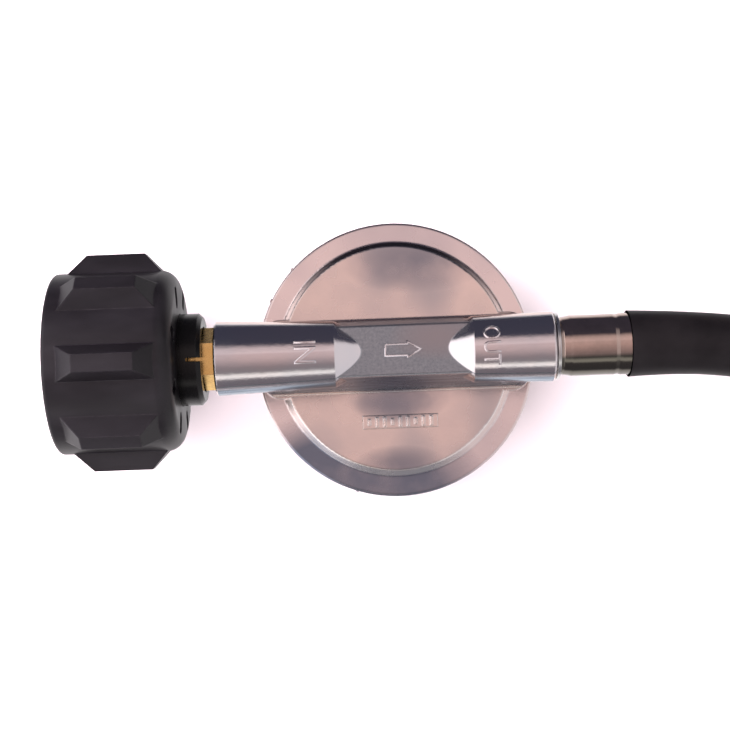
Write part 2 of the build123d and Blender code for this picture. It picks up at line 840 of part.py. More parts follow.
def far_end():
    """Ferrule, flare stem and swivel nut on the coil's end."""
    place, ahead = coil_turns()[1:]
    plane = Plane(origin=place, x_dir=ahead, z_dir=ahead.cross(UP).normalized())
    axis = Axis(place, ahead)
    tail = FERRULE_LENGTH  # the ferrule's mouth faces the hose, so its outline runs backwards
    sleeve = [(tail - x, r) for x, r in reversed(ferrule_stations(0))]
    inner = [
        (tail, BARB_R),
        (tail - 1.4, BARB_R),
        (tail - 1.4, CRIMPED_R + SNUG),
        (0, CRIMPED_R + SNUG),
    ]
    finish(turned([*sleeve, *inner], plane, axis), "far_ferrule")
    ring = [(0, CRIMPED_R), (tail - 1.5, CRIMPED_R)]
    finish(turned(pipe_outline(ring, BARB_R), plane, axis), "crimped_end_far")
    far_stem(plane, axis, tail)
    heel, mouth = (tail + along for along in FLARE_NUT)
    swivel_nut(plane, axis, heel, mouth, tail)
    thread_mid = (tail + FLARE_THREAD_START + mouth) / 2
    print("swivel axis", tuple(place + ahead * thread_mid), "direction", tuple(ahead))


# ---- Build -----------------------------------------------------------------------------------
body_casting()
cover()
vent_screen()
diaphragm()
seal_cap()
orifice()
lever_pin()
valve_lever()
valve_pad()
diaphragm_plate()
diaphragm_stem()
coil_spring("main_spring", SEAT_Z + 1.5, PLATE_UNDER - 0.75, 7.4, 0.65, 4.5, ORIGIN, UP)
spring_seat()
adjusting_nut()
inlet_nipple()
nipple_seal()
thermal_bushing()
coupling_nut()
flow_poppet()
poppet_retainer()
coil_spring("poppet_spring", -71.4, -65.7, 2.3, 0.3, 5, UP * AXIS_Z, ALONG)
outlet_fitting()
ferrule("outlet_ferrule", SHOULDER_X, FLOW, FLOW_AXIS)
crimped_end("crimped_end", SHOULDER_X, FLOW, FLOW_AXIS)
hose()
hose_coil()
far_end()
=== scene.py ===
"""Looks of the low-pressure gas regulator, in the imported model's own frame. Metres."""

import math

import bmesh
import bpy
from mathutils import Matrix, Vector


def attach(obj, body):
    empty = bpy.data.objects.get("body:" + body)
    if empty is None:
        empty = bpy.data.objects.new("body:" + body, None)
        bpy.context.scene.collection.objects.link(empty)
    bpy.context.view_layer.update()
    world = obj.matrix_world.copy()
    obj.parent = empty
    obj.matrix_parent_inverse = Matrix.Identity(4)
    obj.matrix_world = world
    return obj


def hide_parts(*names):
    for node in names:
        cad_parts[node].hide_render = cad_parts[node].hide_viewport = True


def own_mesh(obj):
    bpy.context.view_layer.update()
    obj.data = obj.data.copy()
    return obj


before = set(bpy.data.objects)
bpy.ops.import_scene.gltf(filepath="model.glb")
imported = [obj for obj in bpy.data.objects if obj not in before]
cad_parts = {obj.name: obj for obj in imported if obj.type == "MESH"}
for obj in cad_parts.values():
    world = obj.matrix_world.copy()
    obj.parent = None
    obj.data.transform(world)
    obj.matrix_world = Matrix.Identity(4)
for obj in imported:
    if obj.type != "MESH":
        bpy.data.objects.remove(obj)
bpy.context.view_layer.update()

MM = 0.001
AXIS_Z = 30 * MM  # height of the bores' common axis
BAR_TOP = 34.9 * MM
PLATEAU_TOP = 19.2 * MM
RIM_TOP, RIM_R = 17.0 * MM, 34.75 * MM

# ---- Hose: its route, and its coil's two turns ------------------------------------------------
HOSE_R = 7.6 * MM
HOSE_ROUTE = [
    (0.0563, 0.0, 0.0300),
    (0.0680, 0.0, 0.0300),
    (0.0849, -0.0015, 0.0283),
    (0.1009, -0.0040, 0.0236),
    (0.1159, -0.0072, 0.0158),
    (0.1309, -0.0129, 0.0102),
    (0.1468, -0.0184, 0.0077),
    (0.1619, -0.0219, 0.0077),
    (0.1773, -0.0235, 0.0077),
]
COIL_R = 76 * MM
FLAT_TURN = 114
RISE_TURN = 90
END_LIFT = 3.6 * MM
COIL_STEPS = 8  # points of each of the coil's two turns
FLARE_THREAD_START = 35.3 * MM  # from the coil's end

# ---- Raised marks on the casting -------------------------------------------------------------
# Word, its span along X, its width round the tube and the tube's radius, in mm
LETTERS = (("IN", -24.6, -19.3, 5.7, 8.28), ("OUT", 20.7, 24.9, 9.8, 8.17))
LETTER_RISE, LETTER_ROOT = 0.38 * MM, 0.30 * MM
ARROW_LINE = 0.85 * MM
PAD_CENTRE = (0.6 * MM, -16.2 * MM)
PAD_SIZE = (19.0 * MM, 3.5 * MM)
PAD_RIBS = 9
BURRS = ((153, 1.3), (137, 1.0), (252, 1.1))  # angle round the rim, length in mm

# Patches on the casting, in mm: middle and half-widths in X and Y. The plate's are painted shade, two
# of them beside the bar's front wall; the rim's is a darker patch.
PLATE_PAINTED_SHADE = ((6, 24, 19, 8), (-1, -11.5, 10, 5), (0.5, -10.5, 13, 6.5), (0, -27, 12, 5))
RIM_DARK_PATCH = (-12, -34, 35, 22)

# Parts that shorten as the diaphragm moves down: slot, height of the end that stays, share kept
YIELDING = {
    "main_spring": ("spring_steel", 6.8 * MM, 0.818),
    "diaphragm": ("seal_rubber", 15.0 * MM, 0.304),
}

# ---- Camera and lights -----------------------------------------------------------------------
CAMERA_AIM = Vector((-0.0077, -0.00285, 0.030))
CAMERA_AWAY = 0.340
CAMERA_ELEVATION = 84
CAMERA_ROLL = 2.15
CAMERA_LENS = 68.9

LIGHT_AIM = (0.0, 0.0, 0.02)
LIGHT_COLOUR = (1.0, 0.84, 0.91)


# ---- Node helpers ----------------------------------------------------------------------------
class Shader:
    """A material's nodes, with short calls for those used most."""

    def __init__(self, name):
        self.material = bpy.data.materials.new(name)
        self.material.use_nodes = True
        self.nodes = self.material.node_tree.nodes
        self.links = self.material.node_tree.links
        self.bsdf = self.nodes["Principled BSDF"]
        self.place = self.nodes.new("ShaderNodeTexCoord").outputs["Object"]

    def join(self, source, target):
        self.links.new(source, target)

    def feed(self, socket, value):
        """Set a socket to a number or colour, or link an output to it."""
        if hasattr(value, "links"):
            self.links.new(value, socket)
        else:
            socket.default_value = value

    def noise(self, size, detail=3.0, rough=0.55, stretch=(1, 1, 1)):
        """Noise whose features are about size metres across."""
        mapping = self.nodes.new("ShaderNodeMapping")
        mapping.inputs["Scale"].default_value = [s / size for s in stretch]
        self.join(self.place, mapping.inputs["Vector"])
        node = self.nodes.new("ShaderNodeTexNoise")
        node.inputs["Scale"].default_value = 1.0
        node.inputs["Detail"].default_value = detail
        node.inputs["Roughness"].default_value = rough
        self.join(mapping.outputs["Vector"], node.inputs["Vector"])
        return node.outputs["Fac"]

    def math(self, operation, a, b=0.0):
        node = self.nodes.new("ShaderNodeMath")
        node.operation = operation
        self.feed(node.inputs[0], a)
        self.feed(node.inputs[1], b)
        return node.outputs[0]

    def spread(self, value, low, high, to_low=0.0, to_high=1.0):
        """Value mapped from low..high to to_low..to_high, clamped."""
        node = self.nodes.new("ShaderNodeMapRange")
        self.feed(node.inputs["Value"], value)
        node.inputs["From Min"].default_value = low
        node.inputs["From Max"].default_value = high
        node.inputs["To Min"].default_value = to_low
        node.inputs["To Max"].default_value = to_high
        return node.outputs["Result"]

    def mix(self, factor, a, b):
        """Colour a where factor is 0, colour b where it is 1."""
        node = self.nodes.new("ShaderNodeMix")
        node.data_type = "RGBA"
        self.feed(node.inputs["Factor"], factor)
        self.feed(node.inputs["A"], a)
        self.feed(node.inputs["B"], b)
        return node.outputs["Result"]

    def axis(self, letter):
        """One coordinate of the point, in metres."""
        node = self.nodes.new("ShaderNodeSeparateXYZ")
        self.join(self.place, node.inputs[0])
        return node.outputs[letter]

    def facing(self, letter):
        """How far the surface faces along one axis, from -1 to 1."""
        node = self.nodes.new("ShaderNodeSeparateXYZ")
        coords = self.nodes.new("ShaderNodeTexCoord")
        self.join(coords.outputs["Normal"], node.inputs[0])
        return node.outputs[letter]

    def spot(self, x, y, half_x, half_y, core=0.0):
        """1 in the core of an upright ellipse in plan, fading to 0 at its edge."""
        across = self.math("DIVIDE", self.math("SUBTRACT", self.axis("X"), x), half_x)
        along = self.math("DIVIDE", self.math("SUBTRACT", self.axis("Y"), y), half_y)
        total = self.math("ADD", self.math("POWER", across, 2), self.math("POWER", along, 2))
        return self.spread(total, 1.0, core)

    def edges(self, radius):
        """0 on flats, 1 near an edge of the shape within a radius."""
        bevel = self.nodes.new("ShaderNodeBevel")
        bevel.samples = 6
        bevel.inputs["Radius"].default_value = radius
        plain = self.nodes.new("ShaderNodeNewGeometry")
        product = self.nodes.new("ShaderNodeVectorMath")
        product.operation = "DOT_PRODUCT"
        self.join(bevel.outputs["Normal"], product.inputs[0])
        self.join(plain.outputs["Normal"], product.inputs[1])
        return self.spread(product.outputs["Value"], 0.995, 0.85)

    def bump(self, *layers, round_edges=0.0):
        """Stack (height, depth in metres) layers over softened edges, into the surface."""
        normal = None
        if round_edges:
            bevel = self.nodes.new("ShaderNodeBevel")
            bevel.samples = 6
            bevel.inputs["Radius"].default_value = round_edges
            normal = bevel.outputs["Normal"]
        for height, depth in layers:
            node = self.nodes.new("ShaderNodeBump")
            node.inputs["Strength"].default_value = 1.0
            node.inputs["Distance"].default_value = depth
            self.join(height, node.inputs["Height"])
            if normal is not None:
                self.join(normal, node.inputs["Normal"])
            normal = node.outputs["Normal"]
        self.join(normal, self.bsdf.inputs["Normal"])


def rgb(red, green, blue):
    return (red, green, blue, 1.0)


# ---- Materials -------------------------------------------------------------------------------
def cast_metal():
    """Bright die-cast skin: clouded plate with patches of painted shade, painted shade and highlight
    round the plateau, front wall painted a darker cool reflection over scratches, back wall painted
    with shade, ground flat, worn edges.
    """
    s = Shader("cast_metal_skin")
    mottle = s.noise(0.012, 3, 0.5)
    cloud = s.noise(0.026, 2, 0.5)
    grain = s.noise(0.0006, 4, 0.7)
    pits = s.noise(0.0016, 3, 0.6)
    scratches = s.noise(0.0008, 2, 0.6, stretch=(0.06, 1, 1))
    height = s.axis("Z")
    skin = s.mix(s.spread(mottle, 0.25, 0.75), rgb(0.92, 0.74, 0.67), rgb(0.79, 0.66, 0.62))
    skin = s.mix(s.spread(cloud, 0.45, 0.80), skin, rgb(0.46, 0.44, 0.47))
    # Patches of painted shade on the plate, ragged at their edges
    for x, y, half_x, half_y in PLATE_PAINTED_SHADE:
        patch = s.spot(x * MM, y * MM, half_x * MM, half_y * MM)
        ragged = s.math("MULTIPLY", patch, s.spread(mottle, 0.2, 0.6, 0.45, 0.95))
        skin = s.mix(ragged, skin, rgb(0.30, 0.29, 0.33))
    rim = s.mix(s.spread(cloud, 0.40, 0.75), rgb(0.95, 0.80, 0.77), rgb(0.72, 0.63, 0.64))
    # A darker, bluer patch on the rim's lower left
    x, y, half_x, half_y = RIM_DARK_PATCH
    patch = s.spot(x * MM, y * MM, half_x * MM, half_y * MM, 0.42)
    patch = s.math("MULTIPLY", patch, s.spread(mottle, 0.2, 0.6, 0.7, 1.0))
    rim = s.mix(patch, rim, rgb(0.20, 0.22, 0.28))
    skin = s.mix(s.spread(height, RIM_TOP + 0.5 * MM, RIM_TOP + 0.1 * MM), skin, rim)
    # Painted shade and highlight on the slope round the plateau: near black where it faces +Y, near
    # white elsewhere
    below_plate = s.spread(height, PLATEAU_TOP - 0.05 * MM, PLATEAU_TOP - 0.25 * MM)
    slope = s.math("MULTIPLY", s.spread(height, RIM_TOP + 0.1 * MM, RIM_TOP + 0.4 * MM), below_plate)
    slope_painted_light = s.mix(s.spread(s.facing("Y"), 0.35, 0.75), rgb(1.0, 0.95, 0.92), rgb(0.07, 0.07, 0.09))
    skin = s.mix(slope, skin, slope_painted_light)
    above_plate = s.spread(height, PLATEAU_TOP + 0.2 * MM, PLATEAU_TOP + 0.8 * MM)
    # The bar's front wall, facing -Y, painted a darker cool grey over its scratches: a painted
    # reflection
    front_wall = s.math("MULTIPLY", s.spread(s.facing("Y"), -0.80, -0.93), above_plate)
    wall_scratches_and_painted_reflection = s.mix(s.spread(scratches, 0.35, 0.65), rgb(0.20, 0.25, 0.31), rgb(0.38, 0.45, 0.53))
    skin = s.mix(front_wall, skin, wall_scratches_and_painted_reflection)
    tube = s.mix(s.spread(mottle, 0.35, 0.65), rgb(0.80, 0.73, 0.74), rgb(0.72, 0.70, 0.73))
    skin = s.mix(s.spread(height, BAR_TOP - 1.2 * MM, BAR_TOP - 0.4 * MM), skin, tube)
    # Painted shade on the middle of the bar's back wall, facing +Y: a darker grey that damps its bright
    # grazing reflection; the wall is also made rougher
    middle = s.spread(s.math("ABSOLUTE", s.math("SUBTRACT", s.axis("X"), 1.8 * MM)), 16.5 * MM, 15 * MM)
    back_wall_painted_shade = s.math("MULTIPLY", s.spread(s.facing("Y"), 0.35, 0.60), above_plate)
    back_wall_painted_shade = s.math("MULTIPLY", back_wall_painted_shade, middle)
    skin = s.mix(back_wall_painted_shade, skin, rgb(0.60, 0.58, 0.60))
    ground = s.mix(s.spread(grain, 0.3, 0.7), rgb(0.25, 0.275, 0.31), rgb(0.38, 0.405, 0.44))
    ground = s.mix(s.spot(10 * MM, 3 * MM, 12 * MM, 6 * MM), ground, rgb(0.37, 0.34, 0.36))
    on_flat = s.spread(height, BAR_TOP - 0.3 * MM, BAR_TOP - 0.05 * MM)
    below_cones = s.spread(height, BAR_TOP + 0.15 * MM, BAR_TOP + 0.03 * MM)
    flat = s.math("MULTIPLY", on_flat, below_cones)
    skin = s.mix(flat, skin, ground)
    worn = s.math("MULTIPLY", s.edges(0.35 * MM), s.spread(pits, 0.35, 0.6))
    skin = s.mix(worn, skin, rgb(0.95, 0.93, 0.92))
    s.join(skin, s.bsdf.inputs["Base Color"])
    s.bsdf.inputs["Metallic"].default_value = 1.0
    rough = s.spread(mottle, 0.3, 0.7, 0.12, 0.19)
    rough = s.math("ADD", rough, s.spread(above_plate, 0.0, 1.0, 0.12, 0.0))
    rough = s.math("ADD", rough, s.math("MULTIPLY", back_wall_painted_shade, 0.30))
    rough = s.math("ADD", rough, s.math("MULTIPLY", front_wall, 0.12))
    s.join(s.math("ADD", rough, s.math("MULTIPLY", flat, 0.18)), s.bsdf.inputs["Roughness"])
    s.bump((grain, 0.015 * MM), (pits, 0.03 * MM), (mottle, 0.05 * MM), round_edges=0.5 * MM)
    return s.material


def ferrule_metal():
    """Bright warm nickel with a painted dark reflection along its underside, and faint marks of the
    crimping.
    """
    s = Shader("ferrule_nickel")
    tarnish = s.noise(0.004, 3, 0.6)
    drawn = s.noise(0.0010, 2, 0.6, stretch=(0.05, 1, 1))
    body = s.mix(s.spread(tarnish, 0.35, 0.7), rgb(0.62, 0.48, 0.42), rgb(0.52, 0.41, 0.36))
    # Painted dark reflection along the side facing -Y
    painted_dark_reflection = rgb(0.15, 0.14, 0.12)
    body = s.mix(s.spread(s.axis("Y"), -2.9 * MM, -3.7 * MM), body, painted_dark_reflection)
    s.join(body, s.bsdf.inputs["Base Color"])
    s.bsdf.inputs["Metallic"].default_value = 1.0
    s.join(s.spread(drawn, 0.3, 0.7, 0.10, 0.16), s.bsdf.inputs["Roughness"])
    s.bump((drawn, 0.004 * MM), (tarnish, 0.02 * MM), round_edges=0.25 * MM)
    return s.material


def moulded_plastic(name, colour, sheen, roughness, gloss, depth=0.015 * MM, rounding=0.5 * MM):
    """Black moulded plastic with a fine texture, faint flow marks and scuffed edges."""
    s = Shader(name)
    grain = s.noise(0.0005, 3, 0.6)
    flow = s.noise(0.009, 3, 0.5, stretch=(0.4, 1, 1))
    body = s.mix(s.spread(flow, 0.35, 0.65), rgb(*colour), rgb(*sheen))
    scuff = s.math("MULTIPLY", s.edges(0.4 * MM), s.spread(s.noise(0.002), 0.4, 0.65))
    body = s.mix(s.math("MULTIPLY", scuff, 0.5), body, rgb(*[min(c * 3 + 0.01, 1) for c in sheen]))
    s.join(body, s.bsdf.inputs["Base Color"])
    s.join(s.spread(flow, 0.3, 0.7, roughness - 0.05, roughness + 0.06), s.bsdf.inputs["Roughness"])
    s.bsdf.inputs["Specular IOR Level"].default_value = gloss
    s.bump((grain, depth), round_edges=rounding)
    return s.material


def turned_metal(
    name, light, dark, roughness, lines=0.0004, along=(1, 0.05, 0.05), depth=0.006 * MM
):
    """Turned or drawn metal: fine tool lines, a little tarnish, bright edges."""
    s = Shader(name)
    turning = s.noise(lines, 2, 0.6, stretch=along)
    tarnish = s.noise(0.007, 3, 0.5)
    body = s.mix(s.spread(tarnish, 0.35, 0.8), rgb(*light), rgb(*dark))
    body = s.mix(s.math("MULTIPLY", s.edges(0.2 * MM), 0.6), body, rgb(*[c * 0.4 + 0.6 for c in light]))
    s.join(body, s.bsdf.inputs["Base Color"])
    s.bsdf.inputs["Metallic"].default_value = 1.0
    s.join(s.spread(turning, 0.3, 0.7, roughness - 0.05, roughness + 0.08), s.bsdf.inputs["Roughness"])
    s.bump((turning, depth), round_edges=0.15 * MM)
    return s.material


def rubber(name, colour, roughness, grain_size=0.0004, depth=0.012 * MM):
    """Black rubber with a soft bloom and a very fine skin."""
    s = Shader(name)
    grain = s.noise(grain_size, 3, 0.6)
    bloom = s.noise(0.010, 3, 0.55)
    body = s.mix(s.spread(bloom, 0.35, 0.7), rgb(*colour), rgb(*[c * 1.5 + 0.001 for c in colour]))
    s.join(body, s.bsdf.inputs["Base Color"])
    s.join(s.spread(bloom, 0.3, 0.7, roughness - 0.04, roughness + 0.06), s.bsdf.inputs["Roughness"])
    s.bsdf.inputs["Specular IOR Level"].default_value = 0.16
    s.bump((grain, depth), (bloom, 0.02 * MM))
    return s.material


def pale_floor():
    s = Shader("pale_floor")
    paper = s.noise(0.004, 3, 0.6)
    s.join(s.mix(paper, rgb(0.88, 0.87, 0.88), rgb(0.90, 0.89, 0.90)), s.bsdf.inputs["Base Color"])
    s.bsdf.inputs["Roughness"].default_value = 0.7
    s.bump((paper, 0.01 * MM))
    return s.material


def dress(name, material):
    """Give a CAD node one material."""
    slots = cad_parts[name].data.materials
    slots.clear()
    slots.append(material)


def materials():
    cast = cast_metal()
    nut = moulded_plastic("nut_black", (0.0065, 0.006, 0.0073), (0.011, 0.0105, 0.0125), 0.38, 0.28)
    bushing = moulded_plastic(
        "bushing_black", (0.003, 0.003, 0.003), (0.005, 0.005, 0.005), 0.24, 0.2, 0.005 * MM
    )
    cap = moulded_plastic("cap_black", (0.03, 0.03, 0.032), (0.045, 0.045, 0.048), 0.5, 0.4)
    pale = moulded_plastic("natural_plastic", (0.70, 0.69, 0.64), (0.78, 0.77, 0.72), 0.45, 0.5)
    even = {"lines": 0.0007, "along": (1, 1, 1), "depth": 0.002 * MM}
    brass = turned_metal("brass", (0.92, 0.62, 0.24), (0.80, 0.51, 0.18), 0.24, **even)
    nickel = turned_metal("warm_nickel", (0.55, 0.47, 0.42), (0.50, 0.43, 0.39), 0.18, **even)
    zinc = turned_metal("zinc_plate", (0.80, 0.80, 0.79), (0.68, 0.68, 0.68), 0.28)
    steel = turned_metal("spring_steel", (0.55, 0.55, 0.57), (0.42, 0.42, 0.44), 0.32)
    hose = rubber("hose_black", (0.005, 0.0045, 0.005), 0.45)
    seal = rubber("seal_black", (0.025, 0.025, 0.025), 0.6)
    given = {
        "body_casting": cast,
        "cover": cast,
        "coupling_nut": nut,
        "thermal_bushing": bushing,
        "seal_cap": cap,
        "adjusting_nut": pale,
        "flow_poppet": pale,
        "outlet_ferrule": ferrule_metal(),
        "far_ferrule": nickel,
        "outlet_fitting": zinc,
    }
    given |= dict.fromkeys(("inlet_nipple", "orifice", "diaphragm_stem"), brass)
    given |= dict.fromkeys(("flare_stem", "swivel_nut"), brass)
    given |= dict.fromkeys(("crimped_end", "crimped_end_far"), hose)
    given |= dict.fromkeys(("nipple_seal", "valve_pad", "diaphragm"), seal)
    given |= dict.fromkeys(("main_spring", "poppet_spring", "lever_pin", "poppet_retainer"), steel)
    given |= dict.fromkeys(("valve_lever", "diaphragm_plate", "spring_seat", "vent_screen"), steel)
    for name, material in given.items():
        dress(name, material)
    return {"cast": cast, "hose": hose, "nut": nut, "brass": brass}


# ---- Hose ------------------------------------------------------------------------------------
def coil_points():
    """Spline points of the coil's two turns, set wide to keep its size, and the end's heading."""
    before, place = Vector(HOSE_ROUTE[-2]), Vector(HOSE_ROUTE[-1])
    ahead = (place - before).normalized()
    inward = Vector((0, 0, 1)).cross(ahead)
    rise = math.asin(END_LIFT / (COIL_R * (1 - math.cos(math.radians(RISE_TURN)))))
    points = []
    for degrees, tilt in ((FLAT_TURN, 0.0), (RISE_TURN, rise)):
        inward = inward * math.cos(tilt) + Vector((0, 0, math.sin(tilt)))
        centre = place + inward * COIL_R
        step = math.radians(degrees) / COIL_STEPS
        wide = COIL_R / math.cos(step / 2)
        for i in range(COIL_STEPS):
            angle = (i + 0.5) * step
            points.append(centre + (ahead * math.sin(angle) - inward * math.cos(angle)) * wide)
        swing = math.radians(degrees)
        place = centre + (ahead * math.sin(swing) - inward * math.cos(swing)) * COIL_R
        ahead, inward = (
            ahead * math.cos(swing) + inward * math.sin(swing),
            inward * math.cos(swing) - ahead * math.sin(swing),
        )
    return [*points, place], ahead


def hose(material):
    """The rubber hose, swollen a little where it leaves the ferrule."""
    points = [Vector(p) for p in HOSE_ROUTE] + coil_points()[0]
    curve = bpy.data.curves.new("gas_hose", "CURVE")
    curve.dimensions = "3D"
    curve.bevel_depth = HOSE_R
    curve.bevel_resolution = 12
    curve.resolution_u = 16
    spline = curve.splines.new("NURBS")
    spline.points.add(len(points) - 1)
    for point, place in zip(spline.points, points):
        point.co = (*place, 1.0)
        point.radius = 1.0
    spline.points[0].radius = 1.07
    spline.order_u = 3
    spline.use_endpoint_u = True
    curve.materials.append(material)
    piece = bpy.data.objects.new("gas_hose", curve)
    bpy.context.scene.collection.objects.link(piece)
    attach(piece, "casing")
    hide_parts("hose", "hose_coil")


# ---- Raised marks and threads ----------------------------------------------------------------
def place_piece(name, data, body, material=None):
    """Put a new piece in the scene, riding on a body and made of a slot's material."""
    if material is not None:
        data.materials.append(material)
    piece = bpy.data.objects.new(name, data)
    bpy.context.scene.collection.objects.link(piece)
    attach(piece, body)
    return piece


def letters(word, low_x, high_x, width, tube_r, material):
    """Raised letters wrapped across a tube, their tops towards +X, read from +Y to -Y."""
    text = bpy.data.curves.new(f"text_{word}", "FONT")
    text.body = word
    text.extrude = 0.02
    text.bevel_depth = 0.045
    text.bevel_resolution = 2
    text.offset = -0.03
    text.resolution_u = 4
    model = bpy.data.objects.new(f"text_{word}", text)
    bpy.context.scene.collection.objects.link(model)
    bpy.context.view_layer.update()
    shape = bmesh.new()
    shape.from_mesh(model.to_mesh())
    bpy.data.objects.remove(model)
    lows = [min(v.co[i] for v in shape.verts) for i in range(3)]
    highs = [max(v.co[i] for v in shape.verts) for i in range(3)]
    for vert in shape.verts:
        across = ((vert.co.x - lows[0]) / (highs[0] - lows[0]) - 0.5) * width
        x = low_x + (vert.co.y - lows[1]) / (highs[1] - lows[1]) * (high_x - low_x)
        up = (vert.co.z - lows[2]) / (highs[2] - lows[2])
        radius = tube_r - LETTER_ROOT + up * (LETTER_RISE + LETTER_ROOT)
        angle = across / tube_r
        vert.co = (x, -radius * math.sin(angle), AXIS_Z + radius * math.cos(angle))
    bmesh.ops.remove_doubles(shape, verts=shape.verts, dist=0.002 * MM)
    bmesh.ops.recalc_face_normals(shape, faces=shape.faces)
    mesh = bpy.data.meshes.new(f"mark_{word.lower()}")
    shape.to_mesh(mesh)
    shape.free()
    place_piece(f"mark_{word.lower()}", mesh, "casing", material)


def raised_line(name, corners, height, thickness, material):
    """A closed raised line with a half-round section, lying on a level face."""
    curve = bpy.data.curves.new(name, "CURVE")
    curve.dimensions = "3D"
    curve.bevel_depth = thickness / 2
    curve.bevel_resolution = 3
    spline = curve.splines.new("POLY")
    spline.points.add(len(corners) - 1)
    for point, (x, y) in zip(spline.points, corners):
        point.co = (x, y, height, 1.0)
    spline.use_cyclic_u = True
    place_piece(name, curve, "casing", material)


def flow_arrow(material):
    """Outline of an arrow on the bar's flat, pointing along the flow."""
    tail, neck, tip = -2.7 * MM, 2.7 * MM, 5.9 * MM
    shaft, head = 1.35 * MM, 1.95 * MM
    upper = [(tail, shaft), (neck, shaft), (neck, head)]
    lower = [(neck, -head), (neck, -shaft), (tail, -shaft)]
    raised_line("flow_arrow", [*upper, (tip, 0.0), *lower], BAR_TOP, ARROW_LINE, material)


def stamp_pad(material):
    """Raised pad for a stamp, blank but for a row of plain ribs."""
    shape = bmesh.new()
    low, high = PLATEAU_TOP - 0.1 * MM, PLATEAU_TOP + 0.18 * MM
    block(shape, PAD_CENTRE, PAD_SIZE, low, high, 0.15 * MM)
    pitch = (PAD_SIZE[0] - 1.6 * MM) / PAD_RIBS
    for i in range(PAD_RIBS):
        x = PAD_CENTRE[0] + (i - (PAD_RIBS - 1) / 2) * pitch
        length = PAD_SIZE[1] * (0.70 if i % 3 else 0.45)
        rib_top = high + 0.22 * MM
        block(shape, (x, PAD_CENTRE[1]), (0.75 * MM, length), high - 0.05 * MM, rib_top, 0.15 * MM)
    mesh = bpy.data.meshes.new("stamp_pad")
    shape.to_mesh(mesh)
    shape.free()
    place_piece("stamp_pad", mesh, "casing", material)


def block(shape, centre, size, low, high, chamfer):
    """Add a low block with chamfered top edges to a bmesh."""
    rings = []
    for inset, z in ((0.0, low), (0.0, high - chamfer), (chamfer, high)):
        half_x, half_y = size[0] / 2 - inset, size[1] / 2 - inset
        signs = ((-1, -1), (1, -1), (1, 1), (-1, 1))
        ring = [(centre[0] + a * half_x, centre[1] + b * half_y, z) for a, b in signs]
        rings.append([shape.verts.new(place) for place in ring])
    for below, above in zip(rings, rings[1:]):
        for i in range(4):
            j = (i + 1) % 4
            shape.faces.new((below[i], below[j], above[j], above[i]))
    shape.faces.new(rings[-1])
    shape.faces.new(rings[0][::-1])


def thread(name, start, ahead, radius, depth, pitch, length, body, material):
    """A helical ridge that stands inwards from a bore."""
    side = ahead.orthogonal().normalized()
    other = ahead.cross(side)
    section = ((-0.42, -0.2), (-0.20, 1.0), (0.20, 1.0), (0.42, -0.2))
    steps = 48
    count = int(steps * (length / pitch - 1.0))
    shape = bmesh.new()
    rings = []
    for i in range(count + 1):
        angle = 2 * math.pi * i / steps
        outward = side * math.cos(angle) + other * math.sin(angle)
        fade = min(1.0, i / 12, (count - i) / 12)
        ring = []
        for along, inward in section:
            reach = radius - depth * (inward * fade if inward > 0 else inward)
            place = start + ahead * (pitch * (i / steps + 0.5 + along)) + outward * reach
            ring.append(shape.verts.new(place))
        rings.append(ring)
    for here, there in zip(rings, rings[1:]):
        for i in range(4):
            j = (i + 1) % 4
            shape.faces.new((here[i], here[j], there[j], there[i]))
    shape.faces.new(rings[0][::-1])
    shape.faces.new(rings[-1])
    bmesh.ops.recalc_face_normals(shape, faces=shape.faces)
    mesh = bpy.data.meshes.new(name)
    shape.to_mesh(mesh)
    shape.free()
    place_piece(name, mesh, body, material)


def rim_burrs(material):
    """Three flakes of flash left on the rim's outer edge."""
    shape = bmesh.new()
    for degrees, length in BURRS:
        out = Vector((math.cos(math.radians(degrees)), math.sin(math.radians(degrees)), 0))
        side, up = Vector((-out.y, out.x, 0)), Vector((0, 0, 1))
        root = out * (RIM_R - 0.3 * MM) + up * (RIM_TOP - 0.5 * MM)
        long, thin = length * MM, 0.25 * MM
        base = [root - side * long / 2, root + side * long / 2, root + up * thin * 2.2]
        tips = [root + out * 0.55 * MM + side * long * k for k in (-0.30, 0.22)]
        low = [shape.verts.new(place - up * thin) for place in (*base[:2], tips[1], tips[0])]
        high = [shape.verts.new(place + up * thin) for place in (*base[:2], tips[1], tips[0])]
        peak = shape.verts.new(base[2] + out * 0.2 * MM)
        shape.faces.new(low[::-1])
        for i in range(4):
            j = (i + 1) % 4
            shape.faces.new((low[i], low[j], high[j], high[i]))
            shape.faces.new((high[i], high[j], peak))
    bmesh.ops.recalc_face_normals(shape, faces=shape.faces)
    mesh = bpy.data.meshes.new("rim_burrs")
    shape.to_mesh(mesh)
    shape.free()
    place_piece("rim_burrs", mesh, "casing", material)


def marks(paints):
    cast = paints["cast"]
    for word, low_x, high_x, width, tube_r in LETTERS:
        letters(word, low_x * MM, high_x * MM, width * MM, tube_r * MM, cast)
    flow_arrow(cast)
    stamp_pad(cast)
    rim_burrs(cast)
    nut_mouth = Vector((-80.6 * MM, 0, AXIS_Z))
    ahead = Vector((1, 0, 0))
    thread(
        "nut_thread_ridge", nut_mouth, ahead, 16.65 * MM, 1.0 * MM, 5.08 * MM, 18 * MM,
        "nut", paints["nut"],
    )
    points, heading = coil_points()
    thread(
        "flare_thread_ridge", points[-1] + heading * FLARE_THREAD_START, heading, 7.94 * MM,
        0.45 * MM, 1.41 * MM, 7.7 * MM, "swivel", paints["brass"],
    )


def yielding_parts():
    """The spring and the diaphragm as copies riding on the casing, their CAD nodes hidden."""
    for name, (slot, still_end, kept) in YIELDING.items():
        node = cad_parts[name]
        piece = place_piece(f"{name}_yielding", node.data.copy(), "casing")
        piece.matrix_world = node.matrix_world.copy()
        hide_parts(name)
        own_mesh(piece)


